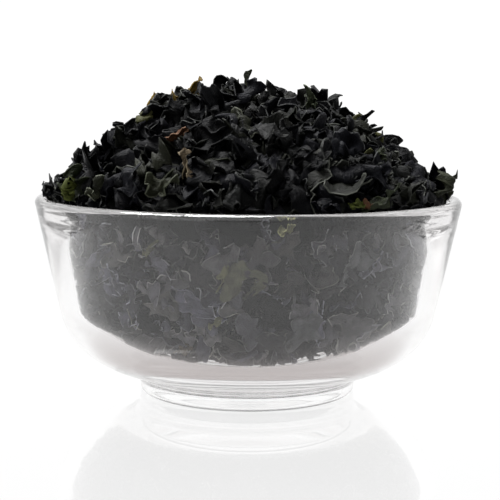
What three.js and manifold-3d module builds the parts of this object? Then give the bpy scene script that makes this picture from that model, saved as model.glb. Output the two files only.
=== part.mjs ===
// A small pressed-glass bowl, filled and heaped with dried wakame: dark, crisp seaweed flakes,
// curled and torn, that lie loose in the bowl and stand above its rim.
//
// Millimetres, +Z up. The origin is on the table, under the middle of the bowl's foot.
// Two bodies of material, each one closed solid: the glass, and the heap of flakes.

import * as THREE from 'three';
import { mergeVertices } from 'three/addons/utils/BufferGeometryUtils.js';
import Module from 'manifold-3d';

const wasm = await Module();
wasm.setup();

// ---- Driving dimensions: the glass bowl ----

const SIDES = 48;                       // flat sides round everything that is turned
const LIP = { radius: 60.75, height: 56.2, halfWidth: 1.85, rise: 1.8 };
const SHOULDER = { radius: 55.6, height: 24 };        // where the straight outer wall starts
const BELLY_PULLS = [[40, 7.7], [52.8, 10.8]];        // shape the curve under the shoulder
const FOOT_TOP = { radius: 33.5, height: 5.9 };       // where the belly meets the foot ring
const FOOT = { outer: 30.6, inner: 28.4 };            // the flat ring that stands on the table
const HEEL = [[31.5, 0.35], [32, 1], [32.25, 3], [32.45, 4.7]];       // the foot's rounded side
const RECESS = { radius: 27.5, height: 3.8 };         // hollow under the bowl, inside the foot
const RECESS_PULLS = [[28.1, 3.8], [28.1, 3.4]];      // shape its edge
const WALL_TOP = { radius: 57.6, height: 53.5 };      // top of the inner wall, under the lip
const WALL_LOW = { radius: 50.6, height: 24 };
const FLOOR = { height: 12.2, corner: 20 };           // inner floor and its corner's radius
const STEPS = { recess: 2, belly: 6, lip: 6, corner: 6 };

// ---- Driving dimensions: the heap of flakes ----

const CLEARANCE = 0.35;                 // air between the flakes and the glass
const CORE_CLEARANCE = 2;               // the solid middle stays this far inside the glass
const CORE_DEPTH = 3.6;                 // and this far under the mound's surface
const MOUND = { base: 58, rise: 31, reach: 60, power: 1.95 };
const MOUND_EDGE = 58.5;                // widest ring of the mound
const OVERHANG = { radius: 62.2, height: 58.4 };      // flakes may lie over the lip, this far out
const HEADROOM = 100;                   // no flake reaches this high
const LUMPS = [                         // rises and dips of the mound, as seen from the front
  { x: -23, y: 2, rise: 4, spread: 8 },
  { x: -36, y: 0, rise: -2, spread: 6 },
  { x: 25, y: 2, rise: 3, spread: 7 },
  { x: 36, y: 0, rise: -2, spread: 6 },
  { x: -48, y: 0, rise: -4, spread: 11 },
  { x: 48, y: 0, rise: -4, spread: 11 },
  { x: 14, y: 0, rise: -2, spread: 6 },
  { x: 2, y: -20, rise: -1.5, spread: 9 },
  { x: -10, y: 28, rise: 2, spread: 10 },
];
const CRAG = 3;                         // how uneven the solid middle is between the pieces
const CALM_RADIUS = 30;                 // nearer the axis it gets smoother, as its points crowd
const CORE_RINGS = 9;
const RING_POWER = 0.9;                 // under 1 sets the rings closer at the steep edge

const THICKNESS = 0.8;                  // of one flake, with its wrinkles
const ROUNDING = 0.18;                  // how much a flake's corners are drawn in
const LEAF = { length: [12, 20], slim: [0.5, 0.85], curl: [0.3, 1.1], cells: [2, 2] };
const SHRED = { length: [15, 24], slim: [0.22, 0.34], curl: [0.7, 1.6], cells: [4, 1] };
const WAVE = [0.4, 1.3];                // height of the waves across a flake
const TAPER = [0.2, 0.7];               // how much it narrows at the ends
const SKEW = [-0.15, 0.15];

const MOUND_PIECES = 88;
const SHRED_SHARE = 0.25;               // how many of them are shreds
const SPIRAL_POWER = 0.38;              // under 0.5 puts more pieces on the steep edge
const TILT = [0.2, 1];                  // radians that such a piece stands up
const ROLL = [-0.6, 0.6];
const TIP_HEIGHT = 2.6;                 // how far its tip stands over the mound's surface
const LEAST_SUNK = 1.6;                 // how far its middle lies under that surface, at least

const WALL_PIECES = 28;                 // pieces that lie against the glass
const WALL_BAND = [24, 47];             // heights of the lowest and the highest of them
const WALL_TILT = [-0.05, 0.05];
const FLOOR_PIECES = 7;
const FLOOR_REACH = 34;                 // how far from the axis they lie
const LYING = { curl: 0.08, wave: 0.15 };             // pieces on the glass are nearly flat
const LYING_DEPTH = 1.5;                // their middles lie this far behind the flakes' limit

// Pieces that break the mound's outline: where each one's middle lies, and how it stands.
const STANDING = [
  { x: 0, y: -4, length: 14, slim: 0.35, heading: 0.2, tilt: 1.3, curl: 0.4 },
  { x: -17, y: 2, length: 14, slim: 0.6, heading: 2.9, tilt: 0.9, curl: 0.7 },
  { x: 25, y: -3, length: 13, slim: 0.7, heading: 0.4, tilt: 0.7, curl: 0.5 },
  { x: -55, y: -12, length: 16, slim: 0.3, heading: 3.4, tilt: 0.3, curl: 1.5 },
  { x: 55, y: -10, length: 15, slim: 0.45, heading: -0.2, tilt: 0.5, curl: 0.6 },
  { x: 44, y: -24, length: 14, slim: 0.5, heading: -0.5, tilt: 0.6, curl: -0.6 },
];

const STANDING_SUNK = 4;                // how far their middles lie under the mound's top
const STANDING_ROLL = 0.2;

const GOLDEN_ANGLE = Math.PI * (3 - Math.sqrt(5));
const NUMBERS = { wall: 300, floor: 500, standing: 700 };      // first piece number of each sort

// ---- Helpers ----

// A fixed draw from 0 to 1 for piece number k; each salt gives another draw.
function draw(k, salt) {
  const value = Math.sin(k * 12.9898 + salt * 78.233) * 43758.5453;
  return value - Math.floor(value);
}

function between([low, high], share) {
  return low + (high - low) * share;
}

// A closed three.js geometry as a solid that can be joined and cut.
function toSolid(geometry) {
  const bare = geometry.clone();
  bare.deleteAttribute('normal');
  bare.deleteAttribute('uv');
  const merged = mergeVertices(bare, 1e-4);
  const corners = merged.index.array;
  const kept = [];
  for (let i = 0; i < corners.length; i += 3) {
    const [a, b, c] = corners.slice(i, i + 3);
    if (a !== b && b !== c && c !== a) kept.push(a, b, c);
  }
  return new wasm.Manifold(new wasm.Mesh({
    numProp: 3,
    vertProperties: new Float32Array(merged.attributes.position.array),
    triVerts: new Uint32Array(kept),
  }));
}

function toGeometry(solid) {
  const mesh = solid.getMesh();
  const geometry = new THREE.BufferGeometry();
  geometry.setAttribute('position', new THREE.BufferAttribute(mesh.vertProperties, 3));
  geometry.setIndex(new THREE.BufferAttribute(mesh.triVerts, 1));
  geometry.computeVertexNormals();
  return geometry;
}

// Turns a profile of [radius, height] points round the vertical axis.
function turn(profile) {
  const points = profile.map(([radius, height]) => new THREE.Vector2(radius, height));
  return new THREE.LatheGeometry(points, SIDES).rotateX(Math.PI / 2);
}

function curvePoints(from, pulls, to, steps) {
  const [a, b, c, d] = [from, ...pulls, to].map(([x, y]) => new THREE.Vector2(x, y));
  return new THREE.CubicBezierCurve(a, b, c, d).getPoints(steps).map((p) => [p.x, p.y]);
}

// ---- The glass bowl ----

// From the middle of the recess, over the foot ring, up the outside and round the lip.
function outerProfile() {
  const recessEdge = [RECESS.radius, RECESS.height];
  const footTop = [FOOT_TOP.radius, FOOT_TOP.height];
  const shoulder = [SHOULDER.radius, SHOULDER.height];
  return [
    [0, RECESS.height],
    ...curvePoints(recessEdge, RECESS_PULLS, [FOOT.inner, 0], STEPS.recess),
    [FOOT.outer, 0],
    ...HEEL,
    ...curvePoints(footTop, BELLY_PULLS, shoulder, STEPS.belly),
    ...lipArc(),
  ];
}

// The rounded lip: half an ellipse, from its widest point outside to the one inside.
function lipArc() {
  const arc = [];
  for (let i = 0; i <= STEPS.lip; i += 1) {
    const angle = (Math.PI * i) / STEPS.lip;
    arc.push([LIP.radius + LIP.halfWidth * Math.cos(angle), LIP.height + LIP.rise * Math.sin(angle)]);
  }
  return arc;
}

// The inner wall, its rounded corner and the floor, from the top down, moved in by a gap.
function cavityProfile(gap) {
  const top = new THREE.Vector2(WALL_TOP.radius, WALL_TOP.height);
  const low = new THREE.Vector2(WALL_LOW.radius, WALL_LOW.height);
  const down = low.clone().sub(top).normalize();
  const inward = new THREE.Vector2(down.y, -down.x);
  const corner = FLOOR.corner - gap;
  const floor = FLOOR.height + gap;
  const start = top.clone().addScaledVector(inward, gap);
  const centreRun = (floor + corner - start.y - inward.y * corner) / down.y;
  const centre = start.clone().addScaledVector(down, centreRun).addScaledVector(inward, corner);
  const profile = [[start.x, start.y]];
  const first = Math.atan2(-inward.y, -inward.x);
  for (let i = 0; i <= STEPS.corner; i += 1) {
    const angle = first + ((-Math.PI / 2 - first) * i) / STEPS.corner;
    profile.push([centre.x + corner * Math.cos(angle), centre.y + corner * Math.sin(angle)]);
  }
  return [...profile, [0, floor]];
}

function makeBowl() {
  return toSolid(turn([...outerProfile(), ...cavityProfile(0)]));
}

// ---- The mound and the solid middle of the heap ----

// Height of the mound's top: a dome with a steep edge, plus its lumps.
function moundHeight(x, y) {
  const share = Math.hypot(x, y) / MOUND.reach;
  let height = MOUND.base + MOUND.rise * (1 - share ** MOUND.power);
  for (const lump of LUMPS) {
    const away = ((x - lump.x) ** 2 + (y - lump.y) ** 2) / lump.spread ** 2;
    height += lump.rise * Math.exp(-away);
  }
  return height;
}

function moundNormal(x, y) {
  const step = 0.5;
  const slopeX = (moundHeight(x + step, y) - moundHeight(x - step, y)) / (2 * step);
  const slopeY = (moundHeight(x, y + step) - moundHeight(x, y - step)) / (2 * step);
  return new THREE.Vector3(-slopeX, -slopeY, 1).normalize();
}

// The middle: the cavity's form, smaller, and on top of it the mound's form, sunk along its
// normal by the core's depth and by an uneven amount that is drawn for each point. The rings
// of the mound are turned as a cone first, which keeps them apart from the wall's points.
function makeCore() {
  const wall = cavityProfile(CORE_CLEARANCE).reverse();
  const rings = [];
  for (let i = 0; i <= CORE_RINGS; i += 1) {
    rings.push([MOUND_EDGE * (1 - i / CORE_RINGS) ** RING_POWER, MOUND.base + i]);
  }
  const geometry = turn([...wall, ...rings]);
  const place = geometry.attributes.position;
  for (let i = 0; i < place.count; i += 1) {
    if (place.getZ(i) < MOUND.base - 0.5) continue;
    const sunk = sunkPoint(place.getX(i), place.getY(i));
    place.setXYZ(i, sunk.x, sunk.y, sunk.z);
  }
  return toSolid(geometry);
}

function sunkPoint(x, y) {
  const calm = Math.min(1, Math.hypot(x, y) / CALM_RADIUS);
  const uneven = calm * CRAG * (draw(Math.round(7 * x), Math.round(7 * y)) - 0.5);
  const onTop = new THREE.Vector3(x, y, moundHeight(x, y));
  return onTop.addScaledVector(moundNormal(x, y), uneven - CORE_DEPTH);
}

// The room that flakes may fill: the cavity up to the lip, and the space above the rim.
function makeRoom() {
  const lipInside = LIP.radius - LIP.halfWidth - CLEARANCE;
  return toSolid(turn([
    ...cavityProfile(CLEARANCE).reverse(),
    [lipInside, LIP.height],
    [lipInside, LIP.height + LIP.rise / 2],
    [LIP.radius - LIP.halfWidth / 2, OVERHANG.height],
    [OVERHANG.radius, OVERHANG.height],
    [OVERHANG.radius, HEADROOM],
    [0, HEADROOM],
  ]));
}

// ---- One flake ----

// A thin wavy solid. Across its grid u runs along it and v across it, from -1 to 1. The outline
// narrows towards the ends by a part of u squared, the length is bent round an arc of the angle
// curl * u, and sine waves rise along the arc's normal. Both faces are the same grid, half the
// thickness to each side of it.
function flakeGeometry({ length, width, curl, wave, taper, skew, cells }) {
  const [columns, rows] = cells;
  const half = length / 2;
  const top = [];
  const bottom = [];
  for (let i = 0; i <= columns; i += 1) {
    for (let j = 0; j <= rows; j += 1) {
      const u = (2 * i) / columns - 1;
      const v = (2 * j) / rows - 1;
      const along = u * (1 - ROUNDING * v * v) + skew * v;
      const angle = curl * along;
      const rise = wave * Math.sin(2.4 * v + 2.1 * u) + wave * 0.5 * Math.cos(3.1 * u);
      const normal = new THREE.Vector3(-Math.sin(angle), 0, Math.cos(angle));
      const middle = new THREE.Vector3(
        (half * Math.sin(angle)) / curl,
        (width / 2) * v * (1 - taper * u * u),
        (half * (1 - Math.cos(angle))) / curl,
      ).addScaledVector(normal, rise);
      top.push(middle.clone().addScaledVector(normal, THICKNESS / 2));
      bottom.push(middle.clone().addScaledVector(normal, -THICKNESS / 2));
    }
  }
  const geometry = new THREE.BufferGeometry().setFromPoints([...top, ...bottom]);
  geometry.setIndex(flakeFaces(columns, rows));
  return geometry;
}

// Both faces of the grid, split alike, and the strip round the edge.
function flakeFaces(columns, rows) {
  const at = (i, j) => i * (rows + 1) + j;
  const below = (columns + 1) * (rows + 1);
  const faces = [];
  for (let i = 0; i < columns; i += 1) {
    for (let j = 0; j < rows; j += 1) {
      const [a, b, c, d] = [at(i, j), at(i + 1, j), at(i + 1, j + 1), at(i, j + 1)];
      faces.push(a, b, c, a, c, d);
      faces.push(below + a, below + c, below + b, below + a, below + d, below + c);
    }
  }
  const edge = [];
  for (let i = 0; i < columns; i += 1) edge.push(at(i, 0));
  for (let j = 0; j < rows; j += 1) edge.push(at(columns, j));
  for (let i = columns; i > 0; i -= 1) edge.push(at(i, rows));
  for (let j = rows; j > 0; j -= 1) edge.push(at(0, j));
  edge.forEach((from, index) => {
    const to = edge[(index + 1) % edge.length];
    faces.push(from, below + from, to, to, below + from, below + to);
  });
  return faces;
}

// The sizes and bends of piece k, drawn from its kind's ranges.
function flakeForm(k, kind) {
  const length = between(kind.length, draw(k, 1));
  return {
    length,
    width: length * between(kind.slim, draw(k, 2)),
    curl: between(kind.curl, draw(k, 3)) * (draw(k, 4) < 0.5 ? -1 : 1),
    wave: between(WAVE, draw(k, 5)),
    taper: between(TAPER, draw(k, 6)),
    skew: between(SKEW, draw(k, 7)),
    cells: kind.cells,
  };
}

// Sets a flake on a surface point: its length points along the heading, tilted up from the
// surface, and it is rolled about that length.
function placeFlake(form, point, normal, { heading, tilt, roll }) {
  const side = new THREE.Vector3(-normal.y, normal.x, 0);
  if (side.lengthSq() < 1e-6) side.set(1, 0, 0);
  side.normalize();
  const forward = side.clone().applyAxisAngle(normal, heading);
  const across = normal.clone().cross(forward);
  const frame = new THREE.Matrix4().makeBasis(forward, across, normal);
  const turned = new THREE.Matrix4().makeRotationFromEuler(new THREE.Euler(roll, -tilt, 0, 'ZYX'));
  const place = new THREE.Matrix4().makeTranslation(point.x, point.y, point.z);
  return toSolid(flakeGeometry(form).applyMatrix4(place.multiply(frame).multiply(turned)));
}

// ---- Where the flakes lie ----

// A point on the circle of the given radius and height, k golden angles round.
function spiralPoint(k, radius, height) {
  const angle = k * GOLDEN_ANGLE;
  return new THREE.Vector3(radius * Math.cos(angle), radius * Math.sin(angle), height);
}

// The mound's pieces lie on a spiral that covers it evenly.
function moundFlake(k) {
  const radius = MOUND_EDGE * ((k + 0.5) / MOUND_PIECES) ** SPIRAL_POWER;
  const point = spiralPoint(k, radius, 0);
  const normal = moundNormal(point.x, point.y);
  const form = flakeForm(k, draw(k, 8) < SHRED_SHARE ? SHRED : LEAF);
  const tilt = between(TILT, draw(k, 10));
  const sunk = Math.max((form.length / 2) * Math.sin(tilt) - TIP_HEIGHT, LEAST_SUNK);
  point.setZ(moundHeight(point.x, point.y)).addScaledVector(normal, -sunk);
  const heading = 2 * Math.PI * draw(k, 9);
  return placeFlake(form, point, normal, { heading, tilt, roll: between(ROLL, draw(k, 11)) });
}

function standingFlake(k) {
  const { x, y, length, slim, curl, heading, tilt } = STANDING[k];
  const form = { ...flakeForm(NUMBERS.standing + k, LEAF), length, width: length * slim, curl };
  const point = new THREE.Vector3(x, y, moundHeight(x, y) - STANDING_SUNK);
  const up = new THREE.Vector3(0, 0, 1);
  return placeFlake(form, point, up, { heading, tilt, roll: STANDING_ROLL });
}

// Against the glass, evenly round it and from the corner to the lip.
function wallFlake(k) {
  const lean = (WALL_TOP.radius - WALL_LOW.radius) / (WALL_TOP.height - WALL_LOW.height);
  const height = between(WALL_BAND, (k + 0.5) / WALL_PIECES);
  const glass = WALL_LOW.radius + lean * (height - WALL_LOW.height);
  const point = spiralPoint(k, glass - CLEARANCE - LYING_DEPTH, height);
  const normal = spiralPoint(k, 1, -lean).normalize();
  const form = { ...flakeForm(NUMBERS.wall + k, LEAF), ...LYING };
  const heading = 2 * Math.PI * draw(k, 13);
  return placeFlake(form, point, normal, { heading, tilt: between(WALL_TILT, draw(k, 14)), roll: 0 });
}

// On the floor of the bowl, where they show through its base.
function floorFlake(k) {
  const radius = FLOOR_REACH * Math.sqrt((k + 0.5) / FLOOR_PIECES);
  const point = spiralPoint(k, radius, FLOOR.height + CLEARANCE + LYING_DEPTH);
  const form = { ...flakeForm(NUMBERS.floor + k, LEAF), ...LYING };
  const down = new THREE.Vector3(0, 0, -1);
  return placeFlake(form, point, down, { heading: k, tilt: 0, roll: 0 });
}

function makeFlakes(count, makeOne) {
  return Array.from({ length: count }, (_, k) => makeOne(k));
}

// The heap: the middle with every piece joined on, cut to the room there is. A sealed hollow
// between pieces comes out as a shell of its own, and so does a cut-off scrap: the one largest
// shell is the heap.
function makeHeap() {
  const pieces = [
    ...makeFlakes(MOUND_PIECES, moundFlake),
    ...makeFlakes(STANDING.length, standingFlake),
    ...makeFlakes(WALL_PIECES, wallFlake),
    ...makeFlakes(FLOOR_PIECES, floorFlake),
  ];
  const joined = pieces.reduce((heap, piece) => heap.add(piece), makeCore());
  const shells = joined.intersect(makeRoom()).decompose();
  return shells.reduce((best, shell) => (shell.volume() > best.volume() ? shell : best));
}

// ---- The object ----

const GLASS = new THREE.MeshStandardMaterial({
  color: 0xdfe6e4, roughness: 0.03, metalness: 0, transparent: true, opacity: 0.35,
});
const WAKAME = new THREE.MeshStandardMaterial({ color: 0x1d211f, roughness: 0.6, metalness: 0 });

function namedMesh(name, solid, material) {
  const mesh = new THREE.Mesh(toGeometry(solid), material);
  mesh.name = name;
  return mesh;
}

const object = new THREE.Group();
object.add(namedMesh('bowl', makeBowl(), GLASS));
object.add(namedMesh('wakame_heap', makeHeap(), WAKAME));

export default object;
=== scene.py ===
"""A small clear glass bowl, filled and heaped with dried wakame, as a studio still.

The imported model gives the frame. Two pieces of it are shown in finer form: the glass bowl,
turned smooth, and the heap, as a dark core under some thousands of curled, torn flakes.
Lengths are in millimetres until a mesh is made, where MM turns them into metres.
"""

import math

import bpy
import numpy as np
from mathutils import Matrix, Vector


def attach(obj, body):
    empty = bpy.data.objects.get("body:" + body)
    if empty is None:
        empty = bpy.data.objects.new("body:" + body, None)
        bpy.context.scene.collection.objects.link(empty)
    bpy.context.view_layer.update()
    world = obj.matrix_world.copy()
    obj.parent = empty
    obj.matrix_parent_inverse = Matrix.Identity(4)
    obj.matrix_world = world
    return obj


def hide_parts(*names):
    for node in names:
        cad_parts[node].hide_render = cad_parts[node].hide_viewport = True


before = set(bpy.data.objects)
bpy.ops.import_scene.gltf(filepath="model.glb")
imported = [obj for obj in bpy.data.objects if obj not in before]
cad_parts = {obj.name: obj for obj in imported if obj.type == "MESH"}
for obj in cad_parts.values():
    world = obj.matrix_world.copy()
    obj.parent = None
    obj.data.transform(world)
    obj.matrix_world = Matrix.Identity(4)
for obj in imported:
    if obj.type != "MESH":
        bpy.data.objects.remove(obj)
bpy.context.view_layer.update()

MM = 0.001
TAU = 2 * math.pi
GOLDEN_ANGLE = math.pi * (3 - math.sqrt(5))

# ---- The camera, fitted to the photograph ----

IMAGE_SIZE = 500                # pixels, square
FOCAL_PIXELS = 1284.0
CAMERA_BACK = 380.0             # from the bowl's axis
CAMERA_HEIGHT = 89.5            # over the table
CAMERA_PITCH = math.radians(7.2)
CAMERA_YAW = math.radians(0.085)
CAMERA_ROLL = math.radians(0.455)
LIGHT_BOUNCES = 40              # the thick glass foot passes light on this often

# ---- The glass bowl ----

TURN_STEPS = 192
LIP = {"radius": 60.75, "height": 56.2, "half_width": 1.85, "rise": 1.8}
SHOULDER = (55.6, 24.0)         # radius and height where the straight outer wall starts
BELLY_PULLS = ((40.0, 7.7), (52.8, 10.8))
FOOT_TOP = (33.5, 5.9)
FOOT_OUTER = 30.6
FOOT_INNER = 28.4
RECESS = (27.5, 3.8)
RECESS_PULLS = ((28.1, 3.8), (28.1, 3.4))
HEEL = (32.0, 1.0)              # radius and height where the foot's rounded edge ends
HEEL_PULLS = ((31.4, 0.0), (31.8, 0.4))
WAIST_PULLS = ((32.4, 4.3), (32.1, 5.1))
WALL_TOP = (57.6, 53.5)
WALL_LOW = (50.6, 24.0)
FLOOR_HEIGHT = 12.2
CORNER_RADIUS = 20.0
TABLE_GAP = 0.1                 # between the foot and the stage floor, so that light finds it

# ---- The mound of flakes ----

MOUND_BASE = 58.0
MOUND_RISE = 31.0
MOUND_REACH = 60.0
MOUND_POWER = 1.95
MOUND_EDGE = 58.5
LUMPS = (                       # x, y, rise, spread
    (-23, 2, 4, 8), (-36, 0, -2, 6), (25, 2, 3, 7), (36, 0, -2, 6),
    (-48, 0, -4, 11), (48, 0, -4, 11), (14, 0, -2, 6), (2, -20, -1.5, 9), (-10, 28, 2, 10),
)
LIP_CLEAR = (58.5, 58.5)        # a flake past this radius lies over this height
LIP_LEAN = 0.48                 # how far the inside leans out for each millimetre under the lip
OVERHANG = 61.9                 # and none lies further out than this


def draw(number, salt):
    """A fixed draw from 0 to 1: the fraction left of a large multiple of a sine."""
    value = np.sin(number * 12.9898 + salt * 78.233) * 43758.5453
    return value - np.floor(value)


def between(low, high, share):
    return low + (high - low) * share


# ---- Making meshes ----

def mesh_object(name, points, quads, smooth=None):
    """A mesh from arrays: points in millimetres, and four corners for each face."""
    mesh = bpy.data.meshes.new(name)
    mesh.vertices.add(len(points))
    mesh.vertices.foreach_set("co", (points * MM).astype(np.float32).ravel())
    mesh.loops.add(quads.size)
    mesh.loops.foreach_set("vertex_index", quads.astype(np.int32).ravel())
    mesh.polygons.add(len(quads))
    mesh.polygons.foreach_set("loop_start", np.arange(0, quads.size, 4, dtype=np.int32))
    rounded = np.ones(len(quads), bool) if smooth is None else smooth
    mesh.polygons.foreach_set("use_smooth", rounded)
    mesh.update(calc_edges=True)
    piece = bpy.data.objects.new(name, mesh)
    bpy.context.scene.collection.objects.link(piece)
    return piece


def curve_points(start, pulls, end, steps):
    """Points on the cubic curve from start to end, pulled by two points between them."""
    t = np.linspace(0, 1, steps + 1)[:, None]
    a, b, c, d = (np.array(p, float) for p in (start, *pulls, end))
    return (1 - t) ** 3 * a + 3 * t * (1 - t) ** 2 * b + 3 * t * t * (1 - t) * c + t ** 3 * d


def turned_mesh(name, profile, steps=TURN_STEPS):
    """The profile of radius and height, turned round the axis; it starts and ends on it.

    The point at step i and profile place j is (r cos a, r sin a, z) with a = i / steps of a
    turn. The two ends of the profile are one point each, closed by a fan.
    """
    inner = np.array(profile[1:-1], float)
    angle = np.arange(steps) * TAU / steps
    ring = np.stack([
        np.outer(np.cos(angle), inner[:, 0]),
        np.outer(np.sin(angle), inner[:, 0]),
        np.tile(inner[:, 1], (steps, 1)),
    ], axis=2).reshape(-1, 3)
    ends = [[0, 0, profile[0][1]], [0, 0, profile[-1][1]]]
    points = np.concatenate([ring, ends])
    count = len(inner)
    i = np.arange(steps)[:, None]
    j = np.arange(count - 1)[None, :]
    after = (i + 1) % steps
    walls = np.stack([i * count + j, after * count + j, after * count + j + 1, i * count + j + 1], 2)
    faces = walls.reshape(-1, 4).tolist()
    first, last = len(ring), len(ring) + 1
    for k in range(steps):
        n = (k + 1) % steps
        faces.append([first, n * count, k * count])
        faces.append([last, k * count + count - 1, n * count + count - 1])
    mesh = bpy.data.meshes.new(name)
    mesh.from_pydata((points * MM).tolist(), [], faces)
    mesh.polygons.foreach_set("use_smooth", np.ones(len(mesh.polygons), bool))
    piece = bpy.data.objects.new(name, mesh)
    bpy.context.scene.collection.objects.link(piece)
    return piece


# ---- The bowl's form ----

def corner_centre():
    """Centre of the inner corner's arc, which touches the inner wall and the floor.

    It lies the corner's radius above the floor, and as far inside the wall's line.
    """
    top, low = np.array(WALL_TOP), np.array(WALL_LOW)
    down = (low - top) / np.linalg.norm(low - top)
    inward = np.array([down[1], -down[0]])
    rise = FLOOR_HEIGHT + CORNER_RADIUS
    run = (rise - top[1] - inward[1] * CORNER_RADIUS) / down[1]
    return top + down * run + inward * CORNER_RADIUS, inward


CORNER, WALL_INWARD = corner_centre()


def inner_profile(steps=30):
    """From the top of the inner wall, down round the corner, to the middle of the floor."""
    first = math.atan2(-WALL_INWARD[1], -WALL_INWARD[0])
    angle = np.linspace(first, -math.pi / 2, steps + 1)
    arc = CORNER + CORNER_RADIUS * np.stack([np.cos(angle), np.sin(angle)], 1)
    return [list(WALL_TOP), *arc.tolist(), [20.0, FLOOR_HEIGHT], [0.0, FLOOR_HEIGHT]]


def lip_arc(steps=20):
    """Half an ellipse over the rim, from its outermost point to its innermost."""
    angle = np.linspace(0, math.pi, steps + 1)
    radius = LIP["radius"] + LIP["half_width"] * np.cos(angle)
    return np.stack([radius, LIP["height"] + LIP["rise"] * np.sin(angle)], 1).tolist()


def outer_profile():
    """From the middle of the recess, over the foot ring and up the outside to the lip."""
    return [
        [0.0, RECESS[1]],
        [12.0, RECESS[1]],
        *curve_points(RECESS, RECESS_PULLS, (FOOT_INNER, 0.0), 10).tolist(),
        *curve_points((FOOT_OUTER, 0.0), HEEL_PULLS, HEEL, 6).tolist(),
        *curve_points(HEEL, WAIST_PULLS, FOOT_TOP, 10).tolist()[1:],
        *curve_points(FOOT_TOP, BELLY_PULLS, SHOULDER, 36).tolist()[1:],
        [57.95, 34.8], [60.3, 45.6],
        *lip_arc(),
    ]


def make_bowl():
    """The glass, turned from one closed profile: outside up, over the lip, inside down."""
    bowl = turned_mesh("glass_bowl", outer_profile() + inner_profile())
    bowl.data.materials.append(glass_material())
    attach(bowl, "root")
    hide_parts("bowl")


# ---- The mound's form ----

def mound_height(x, y):
    """Height of the mound's top: a dome that falls with a power of the radius, plus lumps."""
    share = np.hypot(x, y) / MOUND_REACH
    height = MOUND_BASE + MOUND_RISE * (1 - share ** MOUND_POWER)
    for lump_x, lump_y, rise, spread in LUMPS:
        away = ((x - lump_x) ** 2 + (y - lump_y) ** 2) / spread ** 2
        height = height + rise * np.exp(-away)
    return height


def mound_normal(x, y):
    """The mound's outward direction, from its slopes over one millimetre."""
    slope_x = mound_height(x + 0.5, y) - mound_height(x - 0.5, y)
    slope_y = mound_height(x, y + 0.5) - mound_height(x, y - 0.5)
    normal = np.stack([-slope_x, -slope_y, np.ones_like(slope_x)], -1)
    return normal / np.linalg.norm(normal, axis=-1, keepdims=True)


def keep_inside(points, margin):
    """Moves points that would be in the glass back inside it, by each flake's own margin.

    The cavity is a leaning wall, a corner arc and a floor. A point past the wall's line or
    the arc is moved back along its normal, and one under the floor is lifted. Near the rim a
    point over the lip is lifted above it, and nothing passes the overhang radius.
    """
    x, y, z = points[..., 0], points[..., 1], points[..., 2]
    radius = np.maximum(np.hypot(x, y), 1e-6)
    flat = np.stack([radius, z], -1)
    past = (flat - np.array(WALL_TOP)) @ -WALL_INWARD + margin
    over_lip = z > LIP_CLEAR[1] - 0.6
    on_wall = (past > 0) & ~over_lip & (z > CORNER[1])
    flat = np.where(on_wall[..., None], flat + past[..., None] * WALL_INWARD, flat)
    under_lip = WALL_TOP[0] + LIP_LEAN * (flat[..., 1] - WALL_TOP[1]) - margin
    under_lip = np.minimum(under_lip, LIP_CLEAR[0] - margin)
    bead = (flat[..., 0] > under_lip) & (z > WALL_TOP[1]) & ~over_lip
    flat[..., 0] = np.where(bead, under_lip, flat[..., 0])
    arm = flat - CORNER
    reach = np.maximum(np.linalg.norm(arm, axis=-1), 1e-6)
    room = CORNER_RADIUS - margin
    in_corner = (arm[..., 0] > 0) & (arm[..., 1] <= 0) & (reach > room)
    pulled = CORNER + arm * (room / reach)[..., None]
    flat = np.where(in_corner[..., None], pulled, flat)
    low = (arm[..., 0] <= 0) & (flat[..., 1] < FLOOR_HEIGHT + margin)
    flat[..., 1] = np.where(low, FLOOR_HEIGHT + margin, flat[..., 1])
    lifted = over_lip & (flat[..., 0] > LIP_CLEAR[0]) & (flat[..., 1] < LIP_CLEAR[1] + margin)
    flat[..., 1] = np.where(lifted, LIP_CLEAR[1] + margin, flat[..., 1])
    flat[..., 0] = np.minimum(flat[..., 0], OVERHANG - margin)
    scale = flat[..., 0] / radius
    return np.stack([x * scale, y * scale, flat[..., 1]], -1)


# ---- One sort of flake, all its pieces at once ----

RIM_SHARE = 0.05                # of the half length: the narrow last row of faces at the edge
LOBES = (                       # waves round the outline, share, salt
    (2, 0.12, 21), (3, 0.12, 22), (5, 0.08, 23), (8, 0.05, 24), (11, 0.03, 25),
)
CORNER_BENDS = 3
CREASES = ((33, 6.5, 10.0), (36, 4.0, 6.5), (39, 2.8, 4.0))    # salt, and pitch from and to


def column(values):
    """One value for each flake, set out to go with its grid."""
    return values[:, None, None]


def places_across(cells):
    """Places from -1 to 1 across a grid, with a narrow last cell at either end."""
    return np.concatenate([[-1], np.linspace(RIM_SHARE - 1, 1 - RIM_SHARE, cells - 1), [1]])


def flat_outline(form, u, v):
    """The grid laid on the flat flake, in millimetres.

    The square of u and v is drawn in towards a disc by roundness. Each ray from the middle is
    stretched by a sum of cosines of its angle. The ends narrow by taper times u squared, and
    one of them once more by point, to a tongue.
    """
    roundness = column(form["roundness"])
    x = u * (1 - roundness * (1 - np.sqrt(1 - v * v / 2)))
    y = v * (1 - roundness * (1 - np.sqrt(1 - u * u / 2)))
    angle = np.arctan2(y, x)
    stretch = np.ones_like(x)
    for waves, share, salt in LOBES:
        phase = column(TAU * draw(form["number"], salt))
        stretch = stretch + column(form["ragged"]) * share * np.cos(waves * angle + phase)
    narrowing = 1 - column(form["taper"]) * u * u
    narrowing = narrowing * (1 - column(form["point"]) * np.maximum(u, 0) ** 2)
    along = column(form["length"]) / 2 * (x * stretch + column(form["skew"]) * y)
    across = column(form["width"]) / 2 * y * stretch * narrowing
    return along, across


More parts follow.
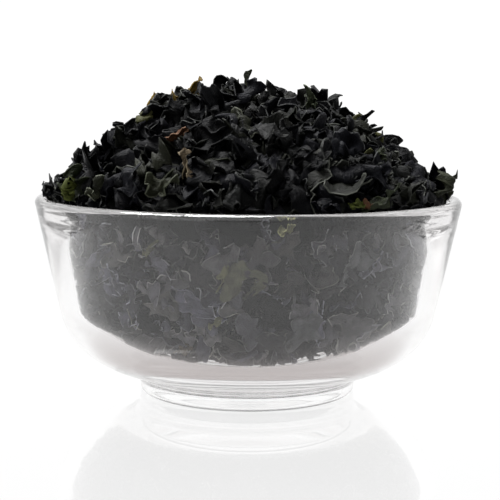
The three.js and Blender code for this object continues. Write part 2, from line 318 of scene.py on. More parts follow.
def crumpled(form, u, v, along, across):
    """Height of the flake's face before it is bent.

    It has the waves of the faceted flakes, a ruffle that grows towards the edge, and creases
    in drawn directions. A crease is a wave of straight flanks, as the arcsine of a sine is. It
    wanders aside as a sine too, and is as high as a share of its wavelength.
    """
    number = form["number"]
    height = column(form["wave"]) * (np.sin(2.4 * v + 2.1 * u) + 0.5 * np.cos(3.1 * u))
    edge = np.maximum(np.abs(u), np.abs(v))
    lobes = np.floor(3 + 5 * column(draw(number, 31)))
    swing = np.sin(lobes * np.arctan2(v, u) + column(TAU * draw(number, 32)))
    height = height + column(form["ruffle"]) * edge ** 3 * swing
    for salt, shortest, longest in CREASES:
        heading = column(TAU * draw(number, salt))
        pitch = column(between(shortest, longest, draw(number, salt + 1)))
        travel = along * np.cos(heading) + across * np.sin(heading)
        aside = across * np.cos(heading) - along * np.sin(heading)
        phase = TAU * travel / pitch + column(TAU * draw(number, salt + 2))
        phase = phase + np.sin(0.7 * TAU * aside / pitch)
        height = height + column(form["wrinkle"]) * pitch * np.arcsin(0.96 * np.sin(phase))
    return height


def bend(points, heading, start, angle, extent):
    """Bends what lies past a line of the flake round a cylinder.

    Past the line, the first extent of the flake is laid round a circle of the radius extent
    / angle, and the rest goes on straight. A point's height moves it across that circle.
    """
    heading, start, angle, extent = (column(value) for value in (heading, start, angle, extent))
    ahead, aside = np.cos(heading), np.sin(heading)
    x, y, height = points[..., 0], points[..., 1], points[..., 2]
    past = x * ahead + y * aside - start
    side = y * ahead - x * aside
    turn = angle * np.clip(past / extent, 0, 1)
    radius = extent / angle
    rest = np.maximum(past - extent, 0)
    bent_past = (radius - height) * np.sin(turn) + rest * np.cos(turn)
    bent_height = radius - (radius - height) * np.cos(turn) + rest * np.sin(turn)
    beyond = past > 0
    travel = start + np.where(beyond, bent_past, past)
    return np.stack([
        travel * ahead - side * aside,
        travel * aside + side * ahead,
        np.where(beyond, bent_height, height),
    ], -1)


def middle_surface(form, cells):
    """Every flake in its own frame: x along it, y across, z off its face.

    The crumpled flake has up to three corners rolled up or down, is twisted about its length,
    and is then curled as a whole from its middle to both ends.
    """
    u, v = np.meshgrid(*(places_across(n) for n in cells), indexing="ij")
    u, v = u[None], v[None]
    along, across = flat_outline(form, u, v)
    points = np.stack([along, across, crumpled(form, u, v, along, across)], -1)
    number, half, half_width = form["number"], form["length"] / 2, form["width"] / 2
    for k in range(CORNER_BENDS):
        salt = 70 + 5 * k
        heading = TAU * ((k + 0.7 * draw(number, salt)) / CORNER_BENDS + form["number"] * 0.37)
        reach = np.hypot(half * np.cos(heading), half_width * np.sin(heading))
        start = reach * between(0.05, 0.6, draw(number, salt + 1))
        extent = reach * between(0.12, 0.8, draw(number, salt + 2))
        sign = np.where(draw(number, salt + 3) < 0.5, -1, 1)
        angle = sign * form["roll_up"] * (0.1 + draw(number, salt + 4) ** 1.5)
        points = bend(points, heading, start, angle, extent)
    twist = column(form["twist"] / half) * points[..., 0]
    y, z = points[..., 1], points[..., 2]
    points = np.stack([
        points[..., 0],
        y * np.cos(twist) - z * np.sin(twist),
        y * np.sin(twist) + z * np.cos(twist),
    ], -1)
    middle = np.zeros(len(number))
    for heading in (0.0, math.pi):
        points = bend(points, middle + heading, middle, form["curl"], half)
    return points


def turned_to(place):
    """Each flake's own axes in the object's frame.

    The frame at the surface point has the normal as its third axis. The flake's length turns
    by heading round the normal, tilts up from the surface, and the flake rolls about it.
    """
    normal = place["normal"]
    side = np.stack([-normal[:, 1], normal[:, 0], np.zeros(len(normal))], 1)
    size = np.linalg.norm(side, axis=1, keepdims=True)
    side = np.where(size > 1e-3, side / np.maximum(size, 1e-9), [1.0, 0.0, 0.0])
    other = np.cross(normal, side)
    heading = place["heading"][:, None]
    forward = side * np.cos(heading) + other * np.sin(heading)
    across = np.cross(normal, forward)
    tilt, roll = place["tilt"][:, None], place["roll"][:, None]
    length_axis = forward * np.cos(tilt) + normal * np.sin(tilt)
    face = normal * np.cos(tilt) - forward * np.sin(tilt)
    width_axis = across * np.cos(roll) + face * np.sin(roll)
    face_axis = face * np.cos(roll) - across * np.sin(roll)
    return np.stack([length_axis, width_axis, face_axis], 1)


def grid_normals(points):
    """Unit normals of each flake's grid, from the directions along and across it."""
    along = np.gradient(points, axis=1)
    across = np.gradient(points, axis=2)
    normal = np.cross(along, across)
    return normal / np.maximum(np.linalg.norm(normal, axis=-1, keepdims=True), 1e-9)


def plate_faces(cells):
    """Faces of one flake: the grid on top, the grid below, and the strip round the edge."""
    columns, rows = cells
    i, j = np.meshgrid(np.arange(columns), np.arange(rows), indexing="ij")
    a = i * (rows + 1) + j
    top = np.stack([a, a + rows + 1, a + rows + 2, a + 1], -1).reshape(-1, 4)
    below = (columns + 1) * (rows + 1)
    bottom = top[:, ::-1] + below
    ring = [k * (rows + 1) for k in range(columns)]
    ring += [columns * (rows + 1) + k for k in range(rows)]
    ring += [k * (rows + 1) + rows for k in range(columns, 0, -1)]
    ring += list(range(rows, 0, -1))
    ring = np.array(ring)
    following = np.roll(ring, -1)
    strip = np.stack([ring, ring + below, following + below, following], -1)
    return np.concatenate([top, bottom, strip]), len(top) + len(bottom)


def flake_piece(name, form, place, cells, material):
    """One mesh with all the flakes of a sort, each a thin closed plate.

    The middle surface is turned and moved to its place, kept inside the glass, and given half
    its thickness to each side along the grid's normals.
    """
    local = middle_surface(form, cells)
    axes = turned_to(place)
    world = np.einsum("nuvi,nij->nuvj", local, axes) + place["point"][:, None, None, :]
    margin = column(place["margin"]) + np.zeros(world.shape[:3])
    world = keep_inside(world, margin)
    offset = grid_normals(world) * column(form["thickness"])[..., None] / 2
    count = len(world)
    plates = np.concatenate(
        [(world + offset).reshape(count, -1, 3), (world - offset).reshape(count, -1, 3)], 1)
    faces, flat_count = plate_faces(cells)
    per_flake = plates.shape[1]
    quads = (faces[None] + (np.arange(count) * per_flake)[:, None, None]).reshape(-1, 4)
    smooth = np.tile(np.arange(len(faces)) < flat_count, count)
    piece = mesh_object(name, plates.reshape(-1, 3), quads, smooth)
    add_attributes(piece, form, cells)
    piece.data.materials.append(material)
    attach(piece, "root")
    return piece


def add_attributes(piece, form, cells):
    """Stores each point's painted edge highlight, which the edge's points alone carry, its place on the
    flake, and a tint.
    """
    u, v = np.meshgrid(*(places_across(n) for n in cells), indexing="ij")
    count = len(form["number"])
    edge = np.tile((np.maximum(np.abs(u), np.abs(v)) == 1).ravel(), 2)
    # the edge attribute carries the painted highlight: light caught at the flake's thin edge, painted
    # there as a paler colour
    layer = piece.data.attributes.new("edge", "FLOAT", "POINT")
    layer.data.foreach_set("value", np.outer(form["edge_highlight"], edge).astype(np.float32).ravel())
    place = np.stack([
        (column(form["length"]) / 2 * u[None]).reshape(count, -1),
        (column(form["width"]) / 2 * v[None]).reshape(count, -1),
        np.repeat(37.0 * draw(form["number"], 41)[:, None], u.size, 1),
    ], -1)
    place = np.concatenate([place, place], 1)
    layer = piece.data.attributes.new("leaf", "FLOAT_VECTOR", "POINT")
    layer.data.foreach_set("vector", place.astype(np.float32).ravel())
    tint = np.repeat(form["tint"], 2 * u.size, axis=0)
    colour = np.concatenate([tint, np.ones((len(tint), 1))], 1)
    layer = piece.data.attributes.new("tint", "FLOAT_COLOR", "POINT")
    layer.data.foreach_set("color", colour.astype(np.float32).ravel())


# ---- Sorts of flakes ----

INK = np.array([0.0026, 0.0027, 0.0042])        # most flakes: black with a cool cast
MOSS = np.array([0.0095, 0.0102, 0.0060])       # some are a dark olive
KHAKI = (0.0500, 0.0500, 0.0180)                # and few are as pale as this
GLASS_LIT_GREY = np.array([0.1500, 0.1430, 0.1600])       # those against the glass: a paler grey that paints the stronger light they get through the glass
WARM_TO_COOL = np.array([0.16, 0.13, -0.22])    # how far that grey runs, from blue to olive
OLIVE = (0.022, 0.024, 0.014)                   # from here on, the colours of single flakes
SLATE = (0.0090, 0.0095, 0.0125)
GREEN = (0.020, 0.025, 0.012)
LIME = (0.080, 0.095, 0.022)
STRAW = (0.200, 0.195, 0.105)
OCHRE = (0.140, 0.090, 0.015)
RUST = (0.080, 0.034, 0.016)
TAN = (0.130, 0.100, 0.065)
GREY = (0.160, 0.160, 0.165)
OLIVE_LIGHT = (0.150, 0.148, 0.098)
ACCENTS = (                     # x, y, length, width, heading, tilt, height over the mound, colour
    (0, 0, 9, 4, 1.5, 1.35, 1.5, OLIVE),
    (-16, -3, 6, 3.5, 0.4, 1.1, 1, OCHRE),
    (-27, 1, 4, 2, 2, 1.2, 1, OCHRE),
    (-22, -7, 4, 2, 0.8, 0.9, 1, OCHRE),
    (-28, -15, 8, 6, 0.3, 0.8, 1, KHAKI),
    (-19, -34, 7, 3.5, 0.2, 0.5, 2, RUST),
    (-16, -46, 8, 1.3, 1.9, 0.5, 3, TAN),
    (-22, -51, 8, 8, 0.6, 0.3, 2.5, OLIVE),
    (-2, -12, 11, 9, 0.1, 0.4, 1, SLATE),
    (-47, -34, 4, 1.6, 0.9, 0.5, 2.5, LIME),
    (-31, -45, 11, 8, 0.2, 0.3, 2.5, SLATE),
    (-56, -20, 7, 0.9, 0.1, 0.9, 2, SLATE),
    (17, -13, 6, 4, 1.5, 1.2, 1.5, GREEN),
    (34, -49, 11, 6, 0.1, 0.3, 2.5, GREEN),
    (30, -52, 3, 1.5, 0.1, 0.4, 3.5, RUST),
    (55, -17, 10, 7, 1.2, 1.1, 1.5, OLIVE),
    (24, -39, 13, 9, 0.4, 0.4, 2.5, SLATE),
    (32, -41, 9, 7, 0.1, 0.5, 2.5, SLATE),
    (35, -30, 4, 2.5, 1.4, 0.9, 2, GREEN),
    (27, -53, 4, 2, 0.3, 0.4, 3, LIME),
    (-46, -31, 8, 7, 0.4, 0.5, 2, GREEN),
    (-39, -42, 8, 6, 1.2, 0.6, 2, OLIVE),
)
GLASS_ACCENTS = (               # share of the way up, degrees round, length, width, heading, colour
    (0.84, -92, 13, 9.5, 1.35, OLIVE_LIGHT),
    (0.87, -96, 7, 1.5, 1.2, STRAW),
    (1, -80, 4, 1.4, 0.5, STRAW),
    (0.71, -99, 4, 1.5, 0.4, STRAW),
    (0.93, -117, 4, 1.4, 0.7, STRAW),
    (0.6, -110, 5, 0.8, 0.2, TAN),
    (0.89, -60, 12, 10, 0.3, GREY),
    (0.68, -74, 9, 8, 0.3, GREY),
)

FACETED_PIECES = 88             # the flakes that the faceted heap has too, in the same places
SHRED_SHARE = 0.25
SPIRAL_POWER = 0.38             # of the faceted flakes' spread over the mound
MORE_POWER = 0.42               # and of all the others'
JITTER = 3.0                    # how far those are moved at random, across in all
PRESSED_SPAN = (0.12, 0.97)     # shares of the way up the inside, between which flakes press on it
PRESSED_POWER = 1.1
ON_GLASS_MARGIN = 0.22          # of the accents there, which lie nearer the glass than the rest
CORE_INSIDE = 4.2               # the dark core stays this far inside the glass
CORE_LIFT = 1.3                 # this far over the floor
CORE_DEPTH = 7.5                # and this far under the mound's surface
CORE_EDGE = 5.0                 # its top starts this far inside the mound's edge


def tints(number):
    """A mix of ink and moss for each flake, most of them near ink, and a few in khaki."""
    share = draw(number, 51)[:, None]
    depth = between(0.4, 1.8, draw(number, 52))[:, None]
    dark = INK + (MOSS - INK) * share ** 4
    return np.where(share > 0.985, np.array(KHAKI), dark) * depth


def leaf_forms(number, length, slim, curl, **changes):
    """Sizes and bends of broad flakes, each drawn between two limits by its number."""
    size = between(*length, draw(number, 1))
    form = {
        "number": number,
        "length": size,
        "width": size * between(*slim, draw(number, 2)),
        "curl": between(*curl, draw(number, 3)) * np.where(draw(number, 4) < 0.5, -1, 1),
        "wave": between(0.4, 1.3, draw(number, 5)),
        "taper": between(-0.1, 0.4, draw(number, 6)),
        "skew": between(-0.15, 0.15, draw(number, 7)),
        "roundness": between(0.2, 1.0, draw(number, 15)),
        "ragged": between(0.7, 2.0, draw(number, 16)),
        "point": 0.5 * draw(number, 17) ** 4,
        "roll_up": between(0.8, 3.8, draw(number, 18)),
        "twist": between(-0.9, 0.9, draw(number, 19)),
        "ruffle": 1.6 * draw(number, 20) ** 1.5,
        "wrinkle": between(0.06, 0.17, draw(number, 26)),
        "thickness": between(0.2, 0.34, draw(number, 28)),
        # strength of the painted highlight at the flake's edge
        "edge_highlight": between(0.0, 0.6, draw(number, 29) ** 2),
        "tint": tints(number),
    }
    form.update(changes)
    return form


def spiral(count, power=SPIRAL_POWER, turn=0.0):
    """Points over the mound, each a golden angle on, with radius as a power of its share."""
    k = np.arange(count)
    radius = MOUND_EDGE * ((k + 0.5) / count) ** power
    angle = k * GOLDEN_ANGLE + turn
    return radius * np.cos(angle), radius * np.sin(angle)


def mound_places(number, x, y, tilt, sunk, margin=0.3):
    normal = mound_normal(x, y)
    top = np.stack([x, y, mound_height(x, y)], 1)
    return {
        "point": top - normal * sunk[:, None],
        "normal": normal,
        "heading": TAU * draw(number, 9),
        "tilt": tilt,
        "roll": between(-0.6, 0.6, draw(number, 11)),
        "margin": margin + 0.3 * draw(number, 12),
    }


def faceted_flakes():
    """The flakes of the faceted heap, by the same rule: leaves, and the shreds among them."""
    number = np.arange(FACETED_PIECES, dtype=float)
    x, y = spiral(FACETED_PIECES)
    shred = draw(number, 8) < SHRED_SHARE
    sorts = []
    for chosen, length, slim, curl in (
            (~shred, (12, 20), (0.5, 0.85), (0.3, 1.1)),
            (shred, (15, 24), (0.22, 0.34), (0.7, 1.6))):
        form = leaf_forms(number[chosen], length, slim, curl)
        form["taper"] = between(0.2, 0.7, draw(number[chosen], 6))
        tilt = between(0.2, 1.0, draw(number[chosen], 10))
        sunk = np.maximum(form["length"] / 2 * np.sin(tilt) - 2.6, 1.6)
        sorts.append((form, mound_places(number[chosen], x[chosen], y[chosen], tilt, sunk)))
    return sorts


def joined(*parts):
    """Several sets of forms or places as one."""
    return {key: np.concatenate([part[key] for part in parts]) for key in parts[0]}


def more_leaves(first, count, length, slim, curl, tilt, depth, turn, **changes):
    """Further flakes over the mound, at any depth from the first to the second given."""
    number = first + np.arange(count, dtype=float)
    x, y = spiral(count, MORE_POWER, turn)
    x = x + JITTER * (draw(number, 61) - 0.5)
    y = y + JITTER * (draw(number, 62) - 0.5)
    form = leaf_forms(number, length, slim, curl, **changes)
    lean = between(*tilt, draw(number, 10))
    sunk = between(*depth, draw(number, 63)) + form["length"] * 0.25 * np.sin(lean)
    return form, mound_places(number, x, y, lean, sunk)


def wall_places(number, length, height, angle, margin, lean):
    """Places on the inside of the glass at a share of the way from the floor's middle to the
    lip, measured along the cavity's profile, with the normal pointing into the glass."""
    profile = np.array(inner_profile(60))[::-1]
    steps = np.linalg.norm(np.diff(profile, axis=0), axis=1)
    travel = np.concatenate([[0], np.cumsum(steps)])
    at = height * travel[-1]
    radius = np.interp(at, travel, profile[:, 0])
    level = np.interp(at, travel, profile[:, 1])
    ahead_radius = np.interp(at + 0.5, travel, profile[:, 0])
    ahead_level = np.interp(at + 0.5, travel, profile[:, 1])
    behind_radius = np.interp(at - 0.5, travel, profile[:, 0])
    behind_level = np.interp(at - 0.5, travel, profile[:, 1])
    slope = np.stack([ahead_level - behind_level, behind_radius - ahead_radius], 1)
    slope = slope / np.linalg.norm(slope, axis=1, keepdims=True)
    normal = np.stack([slope[:, 0] * np.cos(angle), slope[:, 0] * np.sin(angle), slope[:, 1]], 1)
    tilt = between(-lean, lean, draw(number, 65))
    point = np.stack([radius * np.cos(angle), radius * np.sin(angle), level], 1)
    roll = between(-lean, lean, draw(number, 11))
    sunk = margin + 0.4 + 0.22 * length * (np.abs(np.sin(tilt)) + 0.7 * np.abs(np.sin(roll)))
    return {
        "point": point - normal * sunk[:, None],
        "normal": normal,
        "heading": TAU * draw(number, 13),
        "tilt": tilt,
        "roll": roll,
        "margin": margin,
    }


def wall_flakes(first, count, length, margin, lean, **changes):
    """Flakes pressed against the glass, evenly over the wall, the corner and the floor.

    The share along the profile is drawn so that rings near the axis get as few as their
    length asks, and each flake keeps a margin of its own, so that no two share a surface.
    """
    number = first + np.arange(count, dtype=float)
    share = np.sqrt((np.arange(count) + 0.5) / count)
    share = between(*PRESSED_SPAN, share ** PRESSED_POWER)
    angle = np.arange(count) * GOLDEN_ANGLE + first
    own = between(*margin, draw(number, 64))
    form = leaf_forms(number, length, (0.45, 0.9), (0.05, 0.7), **changes)
    form["wave"] = form["wave"] * 0.6
    # flakes against the glass carry a stronger painted edge highlight
    form["edge_highlight"] = between(0.15, 1.0, draw(number, 29))
    warmth = (draw(number, 66)[:, None] - 0.5) * WARM_TO_COOL
    # the paler grey of these flakes is painted light: they are lit copies of the dark flakes in the mound
    form["tint"] = GLASS_LIT_GREY * between(0.03, 1.7, draw(number, 30) ** 1.8)[:, None] * (1 + warmth)
    return form, wall_places(number, form["length"], share, angle, own, lean)


def accent_flakes():
    """The flakes that stand out in the photo by their colour or size, where it shows them."""
    x, y, length, width, heading, tilt, rise = np.array([row[:-1] for row in ACCENTS]).T
    number = 9000 + np.arange(len(x), dtype=float)
    tint = np.array([row[-1] for row in ACCENTS])
    form = leaf_forms(number, (1, 1), (1, 1), (0.1, 0.8), tint=tint)
    form.update(length=length, width=width)
    place = mound_places(number, x, y, tilt, -rise)
    place["heading"] = heading
    share, turn, length, width, heading = np.array([row[:-1] for row in GLASS_ACCENTS]).T
    number = 9500 + np.arange(len(share), dtype=float)
    tint = np.array([row[-1] for row in GLASS_ACCENTS])
    flat = leaf_forms(number, (1, 1), (1, 1), (0.0, 0.1), tint=tint)
    flat.update(length=length, width=width, roll_up=0.4 * flat["roll_up"])
    margin = np.full(len(share), ON_GLASS_MARGIN)
    on_glass = wall_places(number, length, share, np.radians(turn), margin, 0.05)
    on_glass["heading"] = heading
    return joined(form, flat), joined(place, on_glass)


def make_heap():
    """The core and every sort of flake, one piece for each sort."""
    material = flake_material()
    core = make_core()
    flake_piece("accent_flakes", *accent_flakes(), (16, 12), material)
    (leaves, leaf_places), (shreds, shred_places) = faceted_flakes()
    more, more_places = more_leaves(
        1000, 240, (9, 18), (0.55, 1.0), (0.1, 1.0), (0.0, 1.1), (0.3, 4.5), 1.0)
    flake_piece("broad_flakes", joined(leaves, more), joined(leaf_places, more_places), (13, 10), material)
    rolled, rolled_places = more_leaves(
        2000, 260, (6, 13), (0.5, 1.0), (0.3, 1.8), (0.1, 1.4), (0.0, 5.0), 2.0)
    flake_piece("rolled_flakes", rolled, rolled_places, (14, 9), material)
    thin, thin_places = more_leaves(
        3000, 150, (6, 14), (0.16, 0.34), (0.6, 2.8), (0.0, 1.0), (0.0, 4.0), 3.0)
    flake_piece("shreds", joined(shreds, thin), joined(shred_places, thin_places), (16, 4), material)
    scraps, scrap_places = more_leaves(
        4000, 320, (3, 7), (0.5, 0.9), (0.2, 1.5), (0.0, 1.5), (0.0, 5.5), 4.0)
    flake_piece("scraps", scraps, scrap_places, (7, 6), material)
    pressed, pressed_places = wall_flakes(6000, 330, (6, 14), (0.2, 1.0), 0.7)
    flake_piece("pressed_flakes", pressed, pressed_places, (12, 10), material)
    deeper, deeper_places = wall_flakes(7000, 460, (5, 11), (0.5, 3.5), 1.2)
    flake_piece("deeper_flakes", deeper, deeper_places, (9, 7), material)
    bits, bit_places = wall_flakes(8000, 340, (2.5, 6), (0.2, 3.0), 1.3)
    flake_piece("pressed_scraps", bits, bit_places, (7, 6), material)
    return core


def make_core():
    """The dark middle of the heap: the cavity's form, inside the glass, and the sunk mound.

    Its top lies under the mound's surface, uneven by a product of sines of x and y.
    """
    bottom = FLOOR_HEIGHT + CORE_LIFT
    wall = [(r - CORE_INSIDE, z) for r, z in inner_profile(16)[:-2]]
    lower = [(max(r, 0.0), max(z, bottom)) for r, z in wall]
    radii = np.linspace(MOUND_EDGE - CORE_EDGE, 0, 24)
    upper = [(r, float(mound_height(r, 0.0)) - CORE_DEPTH) for r in radii]
    profile = np.array([(0.0, bottom)] + lower[::-1] + upper)
    core = turned_mesh("dark_core", profile.tolist(), 96)
    points = np.zeros(len(core.data.vertices) * 3, np.float32)
    core.data.vertices.foreach_get("co", points)
    points = points.reshape(-1, 3) / MM
    high = points[:, 2] > WALL_TOP[1]
    fine = np.sin(points[:, 0] * 1.1) * np.sin(points[:, 1] * 1.3) * 0.8
    sunk = mound_height(points[:, 0], points[:, 1]) - CORE_DEPTH + fine
    points[:, 2] = np.where(high, sunk, points[:, 2])
    core.data.vertices.foreach_set("co", (points * MM).astype(np.float32).ravel())
    core.data.materials.append(core_material())
    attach(core, "root")
    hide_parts("wakame_heap")
    return core


# ---- Materials ----

def new_material(name):
    material = bpy.data.materials.new(name)
    material.use_nodes = True
    return material, material.node_tree, material.node_tree.nodes["Principled BSDF"]


def glass_material():
    """Clear pressed glass, polished, which turns a warm grey where it is thick."""
    material, tree, shader = new_material("clear_glass")
    shader.inputs["Base Color"].default_value = (0.99, 0.99, 0.99, 1)
    shader.inputs["Transmission Weight"].default_value = 1.0
    shader.inputs["Roughness"].default_value = 0.0
    shader.inputs["IOR"].default_value = 1.5
    haze = tree.nodes.new("ShaderNodeVolumeAbsorption")
    haze.inputs["Color"].default_value = (0.83, 0.815, 0.81, 1)
    haze.inputs["Density"].default_value = 4.0
    output = tree.nodes["Material Output"]
    tree.links.new(haze.outputs["Volume"], output.inputs["Volume"])
    return material


def core_material():
    material, tree, shader = new_material("heap_shadow")
    noise = tree.nodes.new("ShaderNodeTexNoise")
    noise.inputs["Scale"].default_value = 260.0
    spot = tree.nodes.new("ShaderNodeTexCoord")
    ramp = tree.nodes.new("ShaderNodeValToRGB")
    ramp.color_ramp.elements[0].color = (0.002, 0.002, 0.002, 1)
    ramp.color_ramp.elements[1].color = (0.008, 0.009, 0.008, 1)
    tree.links.new(spot.outputs["Object"], noise.inputs["Vector"])
    tree.links.new(noise.outputs["Fac"], ramp.inputs["Fac"])
    tree.links.new(ramp.outputs["Color"], shader.inputs["Base Color"])
    shader.inputs["Roughness"].default_value = 0.9
    shader.inputs["Specular IOR Level"].default_value = 0.1
    return material


def flake_material():
    """Dried wakame: the flake's own tint under a random mottle and a fine striation, with painted
    highlights along its folds and at its torn edge, where the thin sheet would catch the light.

    Every pattern lies on the flake's own coordinates in millimetres, so it bends with it.
    """
    material, tree, shader = new_material("dried_wakame")
    nodes, link = tree.nodes, tree.links.new
    tint = attribute(tree, "tint")
    edge = attribute(tree, "edge")
    leaf = attribute(tree, "leaf")

    mottle = nodes.new("ShaderNodeTexNoise")
    mottle.inputs["Scale"].default_value = 0.45
    mottle.inputs["Detail"].default_value = 4.0
    link(leaf.outputs["Vector"], mottle.inputs["Vector"])
    shade = nodes.new("ShaderNodeMapRange")
    shade.inputs["From Min"].default_value = 0.3
    shade.inputs["From Max"].default_value = 0.7
    shade.inputs["To Min"].default_value = 0.6
    shade.inputs["To Max"].default_value = 1.5
    link(mottle.outputs["Fac"], shade.inputs["Value"])
    # Painted highlights along the folds: ridged lines lighten the tint where creases would catch the
    # light; the mottle beside them is the flake's own random tone
    folds = nodes.new("ShaderNodeTexNoise")
    folds.noise_type = "RIDGED_MULTIFRACTAL"
    folds.inputs["Scale"].default_value = 0.28
    folds.inputs["Detail"].default_value = 3.0
    folds.inputs["Lacunarity"].default_value = 2.6
    link(leaf.outputs["Vector"], folds.inputs["Vector"])
    fold_highlight = nodes.new("ShaderNodeMapRange")
    fold_highlight.inputs["From Min"].default_value = 1.0
    fold_highlight.inputs["From Max"].default_value = 2.0
    fold_highlight.inputs["To Min"].default_value = 0.65
    fold_highlight.inputs["To Max"].default_value = 3.0
    link(folds.outputs["Fac"], fold_highlight.inputs["Value"])
    both = nodes.new("ShaderNodeMath")
    both.operation = "MULTIPLY"
    link(shade.outputs["Result"], both.inputs[0])
    link(fold_highlight.outputs["Result"], both.inputs[1])
    mottled_with_fold_highlight = nodes.new("ShaderNodeVectorMath")
    mottled_with_fold_highlight.operation = "SCALE"
    link(tint.outputs["Color"], mottled_with_fold_highlight.inputs[0])
    link(both.outputs["Value"], mottled_with_fold_highlight.inputs["Scale"])

    # Painted highlight: the edge takes a paler copy of the tint, for light caught at the thin torn edge
    edge_highlight = nodes.new("ShaderNodeVectorMath")
    edge_highlight.operation = "MULTIPLY_ADD"
    edge_highlight.inputs[1].default_value = (3.2, 3.3, 3.0)
    edge_highlight.inputs[2].default_value = (0.095, 0.098, 0.088)
    link(tint.outputs["Color"], edge_highlight.inputs[0])
    mix = nodes.new("ShaderNodeMix")
    mix.data_type = "RGBA"
    link(edge.outputs["Fac"], mix.inputs["Factor"])
    link(mottled_with_fold_highlight.outputs["Vector"], mix.inputs["A"])
    link(edge_highlight.outputs["Vector"], mix.inputs["B"])
    link(mix.outputs["Result"], shader.inputs["Base Color"])

    stretch = nodes.new("ShaderNodeMapping")
    stretch.inputs["Scale"].default_value = (0.25, 1.3, 1.0)
    link(leaf.outputs["Vector"], stretch.inputs["Vector"])
    lines = nodes.new("ShaderNodeTexNoise")
    lines.inputs["Scale"].default_value = 1.0
    lines.inputs["Detail"].default_value = 5.0
    lines.inputs["Roughness"].default_value = 0.6
    link(stretch.outputs["Vector"], lines.inputs["Vector"])
    grain = nodes.new("ShaderNodeTexNoise")
    grain.inputs["Scale"].default_value = 2.2
    grain.inputs["Detail"].default_value = 3.0
    link(leaf.outputs["Vector"], grain.inputs["Vector"])
    relief = nodes.new("ShaderNodeMath")
    relief.operation = "MULTIPLY_ADD"
    relief.inputs[1].default_value = 0.35
    link(grain.outputs["Fac"], relief.inputs[0])
    link(lines.outputs["Fac"], relief.inputs[2])
    bump = nodes.new("ShaderNodeBump")
    bump.inputs["Strength"].default_value = 0.8
    bump.inputs["Distance"].default_value = 0.0012
    link(relief.outputs["Value"], bump.inputs["Height"])
    link(bump.outputs["Normal"], shader.inputs["Normal"])

    dull = nodes.new("ShaderNodeMapRange")
    dull.inputs["To Min"].default_value = 0.36
    dull.inputs["To Max"].default_value = 0.66
    link(mottle.outputs["Fac"], dull.inputs["Value"])
    link(dull.outputs["Result"], shader.inputs["Roughness"])
    shader.inputs["Specular IOR Level"].default_value = 0.07
    return material


def attribute(tree, name):
    node = tree.nodes.new("ShaderNodeAttribute")
    node.attribute_name = name
    return node


# ---- The stage ----

TABLE_SHADE = (0.475, 0.43, 0.42)       # of the table near the bowl, as the glass shows it
SHADE_REACH = 80.0
TABLE_DIM = 0.7                # of the table in front, nearer than the view shows
TABLE_DIMS = (-108.0, -240.0)   # where it starts to dim, and where it is that dim
TABLE_HALF = 3000.0
HORIZON = 1.05                  # light from the tent's sides, which is also the backdrop
CANOPY = 0.82                   # light from higher up
CANOPY_EDGE = (0.2, 0.5)        # heights of a direction one long, between which it takes over
KEY_WATTS = 12.0
SIDE_LIGHT = (-0.53, -0.53, 0.66)       # the direction it comes from, one long
OPENING = (0.0, -0.98, 0.2)             # towards the tent's dark opening
OPENING_EDGE = (0.9, 0.96)              # cosines from that direction, where it starts and is full
FRONT_DIM = 0.3                 # of the tent's upper front, away from the side light
FRONT_BRIGHT = 1.6              # and towards it
GLOW_EDGE = (0.5, 0.95)         # cosines from the side light, between which it turns bright
FRONT_EDGE = (-0.3, -0.65)      # of a direction's y, between which the front takes over
UPPER_EDGE = (0.1, 0.35)        # and of its height


def make_floor():
    """A pale, lit table with a thin gloss, which mirrors the bowl's foot.

    The table is in soft shade round the foot ring, which fades outward. Only rays that come
    through the glass find it: past the bowl the table is plain white, as the photo shows it.
    """
    corners = TABLE_HALF * np.array([[-1, -1], [1, -1], [1, 1], [-1, 1]])
    points = np.concatenate([corners, np.full((4, 1), -TABLE_GAP)], 1)
    floor = mesh_object("floor", points, np.array([[0, 1, 2, 3]]))
    material, tree, shader = new_material("lit_table")
    shader.inputs["Base Color"].default_value = (0, 0, 0, 1)
    shader.inputs["Specular IOR Level"].default_value = 0.0
    spot = tree.nodes.new("ShaderNodeTexCoord")
    reach = tree.nodes.new("ShaderNodeVectorMath")
    reach.operation = "LENGTH"
    tree.links.new(spot.outputs["Object"], reach.inputs[0])
    rise = soft_step(tree, reach.outputs["Value"], FOOT_INNER * MM, (FOOT_OUTER + 0.4) * MM)
    fade = soft_step(tree, reach.outputs["Value"], SHADE_REACH * MM, FOOT_OUTER * MM)
    ring = multiplied(tree, rise, fade)
    path = tree.nodes.new("ShaderNodeLightPath")
    share = multiplied(tree, ring, path.outputs["Is Transmission Ray"])
    mix = tree.nodes.new("ShaderNodeMix")
    mix.data_type = "RGBA"
    mix.inputs["A"].default_value = (1, 1, 1, 1)
    mix.inputs["B"].default_value = (*TABLE_SHADE, 1)
    tree.links.new(share, mix.inputs["Factor"])
    tree.links.new(mix.outputs["Result"], shader.inputs["Emission Color"])
    parts = tree.nodes.new("ShaderNodeSeparateXYZ")
    tree.links.new(spot.outputs["Object"], parts.inputs["Vector"])
    near = soft_step(tree, parts.outputs["Y"], TABLE_DIMS[0] * MM, TABLE_DIMS[1] * MM)
    tree.links.new(blend(tree, near, 1.0, TABLE_DIM), shader.inputs["Emission Strength"])
    shader.inputs["Coat Weight"].default_value = 0.8
    shader.inputs["Coat Roughness"].default_value = 0.012
    floor.data.materials.append(material)


def soft_step(tree, value, zero, one):
    """A smooth ramp of the value, 0 at the first limit and 1 at the second."""
    ramp = tree.nodes.new("ShaderNodeMapRange")
    ramp.interpolation_type = "SMOOTHSTEP"
    ramp.inputs["From Min"].default_value = zero
    ramp.inputs["From Max"].default_value = one
    tree.links.new(value, ramp.inputs["Value"])
    return ramp.outputs["Result"]


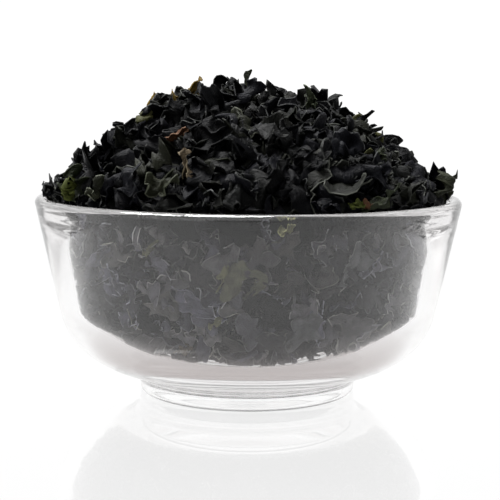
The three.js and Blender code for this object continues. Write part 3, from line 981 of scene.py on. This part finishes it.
def blend(tree, share, first, second):
    """The first value where the share is 0, and the second where it is 1."""
    mix = tree.nodes.new("ShaderNodeMix")
    for socket, value in ((mix.inputs["A"], first), (mix.inputs["B"], second)):
        if isinstance(value, float):
            socket.default_value = value
        else:
            tree.links.new(value, socket)
    tree.links.new(share, mix.inputs["Factor"])
    return mix.outputs["Result"]


def multiplied(tree, first, second):
    product = tree.nodes.new("ShaderNodeMath")
    product.operation = "MULTIPLY"
    tree.links.new(first, product.inputs[0])
    tree.links.new(second, product.inputs[1])
    return product.outputs["Value"]


def make_light():
    """A light tent, white behind the bowl, with a side light in front and a lamp overhead.

    High up in front, the tent's brightness grows with the cosine to the side light's
    direction, from dim to bright. It blends over a band of directions into the white rest.
    The opening in the tent that the camera looks through is dark.
    """
    world = bpy.data.worlds.new("light_tent")
    world.use_nodes = True
    tree = world.node_tree
    background = tree.nodes["Background"]
    background.inputs["Color"].default_value = (1, 1, 1, 1)
    direction = tree.nodes.new("ShaderNodeTexCoord")
    parts = tree.nodes.new("ShaderNodeSeparateXYZ")
    tree.links.new(direction.outputs["Generated"], parts.inputs["Vector"])
    fall = soft_step(tree, parts.outputs["Z"], *CANOPY_EDGE)
    behind = blend(tree, fall, HORIZON, CANOPY)
    facing = tree.nodes.new("ShaderNodeVectorMath")
    facing.operation = "DOT_PRODUCT"
    facing.inputs[1].default_value = SIDE_LIGHT
    tree.links.new(direction.outputs["Generated"], facing.inputs[0])
    glow = soft_step(tree, facing.outputs["Value"], *GLOW_EDGE)
    ahead = blend(tree, glow, FRONT_DIM, FRONT_BRIGHT)
    side = soft_step(tree, parts.outputs["Y"], *FRONT_EDGE)
    high = soft_step(tree, parts.outputs["Z"], *UPPER_EDGE)
    share = multiplied(tree, side, high)
    tent = blend(tree, share, behind, ahead)
    toward = tree.nodes.new("ShaderNodeVectorMath")
    toward.operation = "DOT_PRODUCT"
    toward.inputs[1].default_value = OPENING
    tree.links.new(direction.outputs["Generated"], toward.inputs[0])
    hole = soft_step(tree, toward.outputs["Value"], *OPENING_EDGE)
    tree.links.new(blend(tree, hole, tent, 0.0), background.inputs["Strength"])
    bpy.context.scene.world = world

    light = bpy.data.lights.new("key", "AREA")
    light.shape = "DISK"
    light.size = 0.45
    light.energy = KEY_WATTS
    key = bpy.data.objects.new("key", light)
    key.location = (-0.15, 0.12, 0.65)
    key.visible_transmission = False        # no streaks of it in the thick foot
    key.rotation_euler = (Vector((0, 0, 0.07)) - key.location).to_track_quat("-Z", "Y").to_euler()
    bpy.context.scene.collection.objects.link(key)
    cycles = bpy.context.scene.cycles
    cycles.max_bounces = LIGHT_BOUNCES
    cycles.transmission_bounces = LIGHT_BOUNCES
    cycles.glossy_bounces = LIGHT_BOUNCES
    bpy.context.scene.view_settings.view_transform = "Standard"


def camera_axes():
    """Right, up and forward of the camera: yaw and pitch first, then the roll."""
    forward = np.array([
        math.sin(CAMERA_YAW) * math.cos(CAMERA_PITCH),
        math.cos(CAMERA_YAW) * math.cos(CAMERA_PITCH),
        -math.sin(CAMERA_PITCH),
    ])
    level = np.array([math.cos(CAMERA_YAW), -math.sin(CAMERA_YAW), 0.0])
    plumb = np.cross(level, forward)
    right = level * math.cos(CAMERA_ROLL) + plumb * math.sin(CAMERA_ROLL)
    up = plumb * math.cos(CAMERA_ROLL) - level * math.sin(CAMERA_ROLL)
    return right, up, forward


def make_camera():
    right, up, forward = camera_axes()
    camera = bpy.data.cameras.new("camera")
    camera.sensor_width = 36.0
    camera.lens = FOCAL_PIXELS / IMAGE_SIZE * camera.sensor_width
    holder = bpy.data.objects.new("camera", camera)
    bpy.context.scene.collection.objects.link(holder)
    turn = Matrix([Vector(right), Vector(up), Vector(-forward)]).transposed().to_4x4()
    spot = Vector((0.0, -CAMERA_BACK * MM, CAMERA_HEIGHT * MM))
    holder.matrix_world = Matrix.Translation(spot) @ turn
    bpy.context.scene.camera = holder


make_camera()
make_light()
make_floor()
make_bowl()
make_heap()
